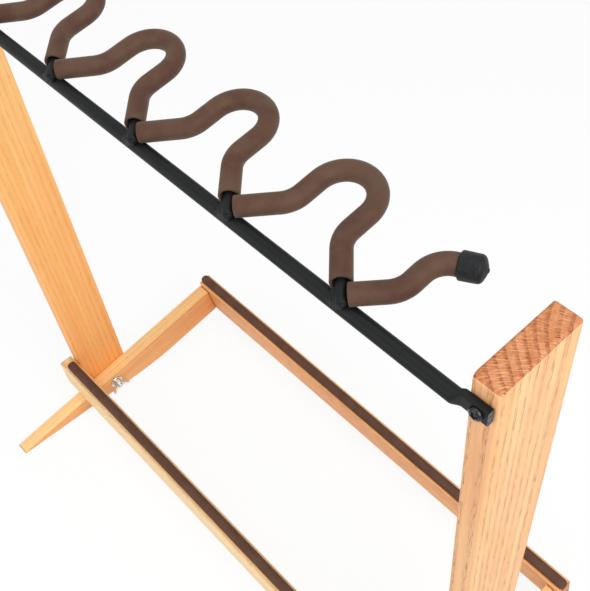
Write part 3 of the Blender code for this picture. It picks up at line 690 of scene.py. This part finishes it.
def make_welds(steel):
    """Weld metal that fills the crevice between the bar and the rod lying across it."""
    bar_y = HALF_BOARD + BAR_BEHIND
    bar_z = UPRIGHT_TOP - BAR_BELOW_TOP
    diagonal = math.sqrt(0.5)
    for index in range(NOTCHES):
        x = vertex_x(index)
        balls = []
        for along in WELD_ALONG_ROD:
            centre = hook_point(x + along * diagonal, along * diagonal) - HOOK_NORMAL * WELD_SINK
            balls.append((centre, WELD_BALL))
        for dx, dy in WELD_FEET:
            rise = math.sqrt(BAR_RADIUS ** 2 - dy ** 2)
            foot = Vector((x + dx, bar_y + dy, bar_z + rise - WELD_FOOT_SINK))
            balls.append((foot, WELD_FOOT_BALL))
        bm = bmesh.new()
        for centre, radius in balls:
            bmesh.ops.create_icosphere(bm, subdivisions=2, radius=radius, matrix=Matrix.Translation(centre))
        hull = bmesh.ops.convex_hull(bm, input=bm.verts)
        spare = set(hull["geom_interior"] + hull["geom_unused"])
        bmesh.ops.delete(bm, geom=[item for item in spare if isinstance(item, bmesh.types.BMVert)],
                         context="VERTS")
        keep = {item for item in hull["geom"] if isinstance(item, bmesh.types.BMFace)}
        bmesh.ops.delete(bm, geom=[face for face in bm.faces if face not in keep], context="FACES")
        weld = new_piece(f"weld_{index + 1}", bm, steel, "uprights", UPRIGHT_FRAME)
        skin = weld.modifiers.new("skin", "REMESH")
        skin.mode = "VOXEL"
        skin.voxel_size = WELD_VOXEL
        skin.use_smooth_shade = True
        soften = weld.modifiers.new("soften", "SMOOTH")
        soften.iterations = 4
        baked(weld)
        for vert in weld.data.vertices:
            spot = vert.co * 1000.0
            ripple = math.sin(spot.x * 2.3 + index) * math.sin(spot.y * 1.9 + index * 2)
            ripple += math.sin(spot.z * 2.7)
            vert.co += vert.normal * ripple * WELD_RIPPLE


# Rack bar and its screws

def bar_section(bm, x, flatness, sides=48):
    """A ring round the bar at x: a circle where flatness is 0, the squared lug where it is 1."""
    round_y = HALF_BOARD + BAR_BEHIND
    flat_y = HALF_BOARD + SEAT_GAP + BAR_FLAT_THICK / 2
    centre_y = round_y + (flat_y - round_y) * flatness
    centre_z = UPRIGHT_TOP - BAR_BELOW_TOP
    verts = []
    for i in range(sides):
        angle = math.tau * (i + 0.5) / sides
        cos, sin = math.cos(angle), math.sin(angle)
        power = LUG_SQUARENESS
        square = 1.0 / (abs(cos) ** power + abs(sin) ** power) ** (1 / power)
        lug = (cos * square * BAR_FLAT_THICK / 2, sin * square * BAR_FLAT_HEIGHT / 2)
        disc = (cos * BAR_RADIUS, sin * BAR_RADIUS)
        y = centre_y + disc[0] + (lug[0] - disc[0]) * flatness
        z = centre_z + disc[1] + (lug[1] - disc[1]) * flatness
        verts.append(bm.verts.new((x, y, z)))
    return verts


def make_bar(steel):
    """The round bar, pinched down to a flat lug at each end."""
    bm = bmesh.new()
    tip = STAND_WIDTH / 2 - BAR_END_SHORT
    lug = tip - BAR_FLAT_LENGTH
    right = [(lug - BAR_PINCH, 0.0)]
    for i in range(1, 9):
        t = i / 8
        right.append((lug - BAR_PINCH * (1 - t), t * t * (3 - 2 * t)))
    right += [(tip, 1.0)]
    left = [(-x, flatness) for x, flatness in reversed(right)]
    rings = [bar_section(bm, x, flatness) for x, flatness in left + right]
    skin_rings(bm, rings)
    bm.faces.new(rings[0])
    bm.faces.new(rings[-1])
    bar = new_piece("bar", bm, steel, "uprights", UPRIGHT_FRAME)
    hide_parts("rack_bar")


def make_screws(steel):
    """Pan-head screws with a cross recess through the bar's lugs."""
    for side, sign in SIDES:
        x = sign * (INNER_FACE + BOARD_THICK / 2)
        z = UPRIGHT_TOP - BAR_BELOW_TOP
        seat = HALF_BOARD + SEAT_GAP + BAR_FLAT_THICK + 0.0001
        radius, head = SCREW_HEAD_RADIUS, SCREW_HEAD_HEIGHT
        profile = [(-head, radius * 0.30), (-head * 0.97, radius * 0.50), (-head * 0.85, radius * 0.72)]
        profile += [(-head * 0.62, radius * 0.92), (-head * 0.3, radius), (0.0, radius * 0.98)]
        profile += [(0.0, SCREW_RADIUS), (SCREW_SHOWN_SHANK, SCREW_RADIUS)]
        screw = new_piece("screw_" + side, turned(profile, (x, seat, z), (0, -1, 0), 40), steel, "uprights",
                          UPRIGHT_FRAME)
        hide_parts("bar_screw_" + side)
        for turn in (CROSS_TURN, CROSS_TURN + 90.0):
            bm = bmesh.new()
            bmesh.ops.create_cube(bm, size=1.0)
            size = Matrix.Diagonal((radius * CROSS_REACH, CROSS_DEPTH, CROSS_WIDTH, 1.0))
            spin = Matrix.Rotation(math.radians(turn), 4, "Y")
            middle = Matrix.Translation((x, seat + head - CROSS_BELOW_CROWN, z))
            bmesh.ops.transform(bm, matrix=UPRIGHT_FRAME @ middle @ spin @ size, verts=bm.verts)
            bmesh.ops.recalc_face_normals(bm, faces=bm.faces)
            mesh = bpy.data.meshes.new("cross_cut")
            bm.to_mesh(mesh)
            bm.free()
            cutter = bpy.data.objects.new("cross_cut", mesh)
            bpy.context.collection.objects.link(cutter)
            cut = screw.modifiers.new("cross", "BOOLEAN")
            cut.operation = "DIFFERENCE"
            cut.object = cutter
            baked(screw)
            bpy.data.objects.remove(cutter)


# Pivot hardware

def wing_outline():
    """One wing of the nut as (distance from the axis, height over the washer)."""
    reach, top = WING_SPAN / 2, WING_HEIGHT
    root = (HUB_TOP_RADIUS + BOLT_RADIUS) / 2
    return [(root, top * 0.10), (HUB_FOOT_RADIUS, top * 0.16), (reach * 0.68, top * 0.34),
            (reach * 0.89, top * 0.60), (reach, top * 0.83), (reach * 0.97, top * 0.95),
            (reach * 0.87, top), (reach * 0.74, top * 0.94), (reach * 0.58, top * 0.74),
            (HUB_TOP_RADIUS, top * 0.58), (root, top * 0.55)]


def make_wing_nut(side, sign, seat, metal):
    """A cast nut: tapered hub and two wings that spread as they rise, grown into one soft-edged skin."""
    bore_radius = BOLT_RADIUS + BORE_PLAY
    foot = Vector((sign * seat, 0, 0))
    axis = Vector((-sign, 0, 0))
    profile = [(0.0, HUB_FOOT_RADIUS), (HUB_HEIGHT * 0.3, HUB_FOOT_RADIUS), (HUB_HEIGHT, HUB_TOP_RADIUS),
               (HUB_HEIGHT, bore_radius), (0.0, bore_radius)]
    bm = turned(profile, foot, axis, 64, closed=True)
    for way in (-1, 1):
        outward = Vector((0, way * math.cos(WING_TURN), -way * math.sin(WING_TURN)))
        thick = outward.cross(axis) * (WING_THICK / 2)
        plates = []
        for shift in (-1, 1):
            plates.append([bm.verts.new(foot + thick * shift + outward * out + axis * rise)
                           for out, rise in wing_outline()])
        skin_rings(bm, plates)
        bm.faces.new(plates[0])
        bm.faces.new(plates[1])
    nut = new_piece("wing_nut_" + side, bm, metal, "uprights", UPRIGHT_FRAME)
    skin = nut.modifiers.new("skin", "REMESH")
    skin.mode = "VOXEL"
    skin.voxel_size = CAST_VOXEL
    skin.use_smooth_shade = True
    soften = nut.modifiers.new("soften", "SMOOTH")
    soften.factor = 0.5
    soften.iterations = 5
    baked(nut)
    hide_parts("pivot_nut_" + side)


def make_pivots(metal):
    """At each pivot a domed bolt from outside, a washer and a wing nut inside the leg."""
    for side, sign in SIDES:
        outer = STAND_WIDTH / 2 + SEAT_GAP
        washer_seat = INNER_FACE - LEG_SIDE_PLAY - BOARD_THICK - SEAT_GAP
        nut_seat = washer_seat - WASHER_THICK - SEAT_GAP
        length = outer - nut_seat + HUB_HEIGHT + BOLT_PAST_NUT
        inward = Vector((-sign, 0, 0))
        head = BOLT_HEAD_HEIGHT
        profile = []
        for i in range(1, 12):
            angle = math.radians(90 * i / 11)
            profile.append((-head * math.cos(angle), BOLT_HEAD_RADIUS * math.sin(angle)))
        profile += [(0.0, BOLT_RADIUS), (length - 0.0006, BOLT_RADIUS), (length, BOLT_RADIUS * 0.8)]
        bolt = new_piece("carriage_bolt_" + side, turned(profile, (sign * outer, 0, 0), inward, 48), metal,
                         "uprights", UPRIGHT_FRAME)
        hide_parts("pivot_bolt_" + side)

        edge, bore_radius, ease = WASHER_RADIUS, BOLT_RADIUS + BORE_PLAY, 0.0003
        profile = [(ease, edge), (WASHER_THICK - ease, edge), (WASHER_THICK, edge - ease),
                   (WASHER_THICK, bore_radius), (0.0, bore_radius), (0.0, edge - ease)]
        washer = new_piece("washer_" + side, turned(profile, (sign * washer_seat, 0, 0), inward, 64, True),
                           metal, "uprights", UPRIGHT_FRAME)
        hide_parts("pivot_washer_" + side)
        make_wing_nut(side, sign, nut_seat, metal)


# Pads

def pad_section():
    """Half-round strip: flat base, short upright sides and a round crown, as (y, z) from its base."""
    half = PAD_WIDTH / 2
    side = PAD_HEIGHT - PAD_CROWN
    section = [(-half, 0.0), (half, 0.0)]
    for i in range(25):
        angle = math.pi * i / 24
        section.append((half * math.cos(angle), side + PAD_CROWN * math.sin(angle)))
    return section


def make_pad(name, node, body, half_length, centre_y, base_z, matrix, brown, round_ends):
    """A rubber strip along a rail, cut square or rounded down to its base at both ends."""
    ends = [(0.0, 0.965), (0.0006, 1.0)]
    if round_ends:
        ends = []
        for i in range(9):
            angle = math.radians(90 - 11.25 * i)
            size = PAD_END_SIZE + (1 - PAD_END_SIZE) * math.cos(angle)
            ends.append((PAD_ROUND_END * (1 - math.sin(angle)), size))
    stations = [(inset - half_length, size) for inset, size in ends]
    stations += [(half_length - inset, size) for inset, size in reversed(ends)]
    bm = bmesh.new()
    rings = []
    for x, size in stations:
        rings.append([bm.verts.new((x, centre_y + y * size, base_z + z * size)) for y, z in pad_section()])
    skin_rings(bm, rings)
    bm.faces.new(rings[0])
    bm.faces.new(rings[-1])
    pad = new_piece(name, bm, brown, body, matrix)
    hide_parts(node)


def rear_rail_bottom():
    """Height at which the rail's lower front arris meets the legs' sloping top edge."""
    fall = math.tan(LEG_SLOPE - UPRIGHT_LEAN)
    crest = LEG_TOP / math.cos(LEG_SLOPE - UPRIGHT_LEAN)
    return crest - fall * (HALF_BOARD + SEAT_GAP) + SEAT_GAP


def make_pads(brown):
    rear_y = HALF_BOARD + SEAT_GAP + BOARD_THICK / 2
    make_pad("rear_pad", "rear_rail_pad", "uprights", STAND_WIDTH / 2 - REAR_PAD_INSET, rear_y,
             rear_rail_bottom() + REAR_RAIL_HEIGHT + SEAT_GAP, UPRIGHT_FRAME, brown, False)
    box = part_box("front_rail_pad")
    front_y = -LEG_FRONT - SEAT_GAP - BOARD_THICK / 2
    make_pad("front_pad", "front_rail_pad", "base", box[1][0], front_y,
             LEG_TOP - LEG_DEPTH + FRONT_RAIL_HEIGHT + SEAT_GAP, LEG_FRAME, brown, True)


# CAD nodes that keep their shape

def dress(node, material):
    """Give a CAD node its material."""
    mesh = frame["nodes"][node].data
    mesh.materials.clear()
    mesh.materials.append(material)


def dress_boards():
    """Each board gets its own cut from the log and its own tint; some tints are partly painted light and
    painted shade.
    """
    upright = (UPRIGHT_LEAN, 0, 0)
    near = (0.90, 0.86, 0.85)
    golden = (1.02, 0.98, 0.80)
    # The legs' orange tint is partly painted shade: the warmer, darker tone of their shaded sides.
    orange = (0.90, 0.74, 0.60)
    # The rear rail's pale tint is partly painted light: the paleness of a strongly lit board.
    pale = (0.94, 1.00, 1.10)
    rosy = (0.92, 0.77, 0.64)
    # Near upright: painted light makes its front and rear edge faces slightly paler.
    dress("upright_left", oak("oak_upright_left", upright, (0.4205, 0.0386, 0.3), 172.0, near, 0.38,
                              edge=(1.04, 1.02, 1.06)))
    # Far upright: painted shade darkens it towards its foot.
    dress("upright_right", oak("oak_upright_right", upright, (-0.290, 0.0500, 0.9), 150.0, golden, 0.30,
                               painted_shade_drift=(1.55, 0.95, (0.98, 0.74, 0.56)), figure=0.40))
    leg = (math.radians(90) + LEG_SLOPE, 0, 0)
    for side, across in (("left", 0.355), ("right", -0.290)):
        # Legs: painted light makes their top and bottom faces paler, and painted shade darkens them towards
        # their front ends.
        dress("leg_" + side, oak("oak_leg_" + side, leg, (across, 0.05, 0.6), 190.0, orange, 0.4,
                                 edge=(1.15, 1.50, 1.86), painted_shade_drift=(0.60, 0.44, (0.88, 0.76, 0.68)),
                                 figure=0.45))
    rail = (0, math.radians(90), 0)
    # Rear rail: painted light makes its front and rear faces paler.
    dress("rear_rail", oak("oak_rear_rail", rail, (0.11, -0.10, 0.4), 200.0, pale, 0.1,
                           edge=(1.10, 1.28, 1.46)))
    dress("front_rail", oak("oak_front_rail", rail, (0.09, 0.22, 0.1), 200.0, rosy, 0.6))


def make_stage():
    """A pale floor that the camera sees as nearly white, with the object's shadow kept on it."""
    bm = bmesh.new()
    bmesh.ops.create_grid(bm, x_segments=1, y_segments=1, size=6.0)
    mesh = bpy.data.meshes.new("floor")
    bm.to_mesh(mesh)
    bm.free()
    floor = bpy.data.objects.new("floor", mesh)
    bpy.context.collection.objects.link(floor)
    floor.location.z = -0.0005
    n = Nodes("pale_floor")
    n.shader.inputs["Base Color"].default_value = (0.92, 0.92, 0.92, 1.0)
    n.shader.inputs["Roughness"].default_value = 0.9
    n.shader.inputs["Specular IOR Level"].default_value = 0.1
    glow = n.add("ShaderNodeEmission")
    glow.inputs["Strength"].default_value = 1.0
    both = n.add("ShaderNodeMixShader")
    n.link(n.maths("MULTIPLY", seen_ray(n.tree), FLOOR_WHITE), both.inputs[0])
    n.link(n.shader.outputs[0], both.inputs[1])
    n.link(glow.outputs[0], both.inputs[2])
    n.link(both.outputs[0], n.tree.nodes["Material Output"].inputs["Surface"])
    mesh.materials.append(n.material)


def seen_ray(tree):
    """1 for rays that come from the camera, a reflection or a transmission, otherwise 0."""
    path = tree.nodes.new("ShaderNodeLightPath")
    output = path.outputs["Is Camera Ray"]
    for kind in ("Is Glossy Ray", "Is Transmission Ray"):
        either = tree.nodes.new("ShaderNodeMath")
        either.operation = "MAXIMUM"
        tree.links.new(output, either.inputs[0])
        tree.links.new(path.outputs[kind], either.inputs[1])
        output = either.outputs[0]
    return output


def make_world():
    """An even white surround that lights the object at the ambient level and shows as white."""
    world = bpy.data.worlds.new("studio")
    bpy.context.scene.world = world
    world.use_nodes = True
    tree = world.node_tree
    background = tree.nodes["Background"]
    background.inputs["Color"].default_value = (1.0, 1.0, 1.0, 1.0)
    strength = tree.nodes.new("ShaderNodeMapRange")
    strength.inputs["To Min"].default_value = AMBIENT
    strength.inputs["To Max"].default_value = 1.0
    tree.links.new(seen_ray(tree), strength.inputs["Value"])
    tree.links.new(strength.outputs[0], background.inputs["Strength"])


def add_lamp(name, place, target, size, power):
    """A square soft lamp that looks at its target."""
    data = bpy.data.lights.new(name, "AREA")
    data.shape = "SQUARE"
    data.size = size
    data.energy = power
    lamp = bpy.data.objects.new(name, data)
    bpy.context.collection.objects.link(lamp)
    lamp.location = place
    lamp.rotation_euler = (Vector(target) - Vector(place)).to_track_quat("-Z", "Y").to_euler()


def make_camera():
    """The photograph's viewing angle."""
    data = bpy.data.cameras.new("camera")
    data.sensor_fit = "HORIZONTAL"
    data.sensor_width = SENSOR
    data.lens = FOCAL_PIXELS / PHOTO_WIDTH * SENSOR
    data.clip_start = 0.01
    camera = bpy.data.objects.new("camera", data)
    bpy.context.collection.objects.link(camera)
    camera.location = CAMERA_PLACE
    camera.rotation_euler = CAMERA_TURN
    bpy.context.scene.camera = camera


# The whole scene

brown = rubber("brown_sleeve", (0.070, 0.030, 0.020), (0.090, 0.048, 0.030), 0.50, sheen=0.12)
brown_pad = rubber("brown_pad", (0.092, 0.043, 0.028), (0.112, 0.055, 0.035), 0.55)
black = rubber("black_cap", (0.007, 0.009, 0.010), (0.010, 0.012, 0.013), 0.46, sheen=0.06,
               speck=(0.024, 0.026, 0.026))
steel = powder_coat("black_steel", (0.0055, 0.0062, 0.0062), 0.46)
screw_steel = powder_coat("screw_black", (0.005, 0.005, 0.007), 0.14, specular=0.38)
bar_steel = powder_coat("bar_black", (0.0055, 0.0062, 0.0062), 0.46, pale_end_patches=(0.085, 0.095, 0.092))
bright = zinc("bright_zinc")

make_hooks(steel, brown, black)
make_welds(steel)
make_bar(bar_steel)
make_screws(screw_steel)
make_pivots(bright)
make_pads(brown_pad)
dress_boards()
for side, sign in SIDES:
    for number in (1, 2):
        for rail in ("rear", "front"):
            beech = oak(f"beech_{rail}_{side}_{number}", (math.radians(90), 0, 0), (0.02, 0.02, 0), 300.0)
            dress(f"{rail}_dowel_{side}_{number}", beech)
make_stage()
make_world()
make_camera()
add_lamp("key", (-1.8, 0.35, 2.0), (0.0, 0.0, 0.45), 1.6, 43.0)
add_lamp("fill", (0.5, 1.9, 1.2), (0.0, 0.0, 0.3), 1.6, 13.0)
add_lamp("top", (0.1, 0.1, 2.6), (0.05, 0.0, 0.3), 1.8, 14.0)
bpy.context.scene.view_settings.view_transform = "Standard"
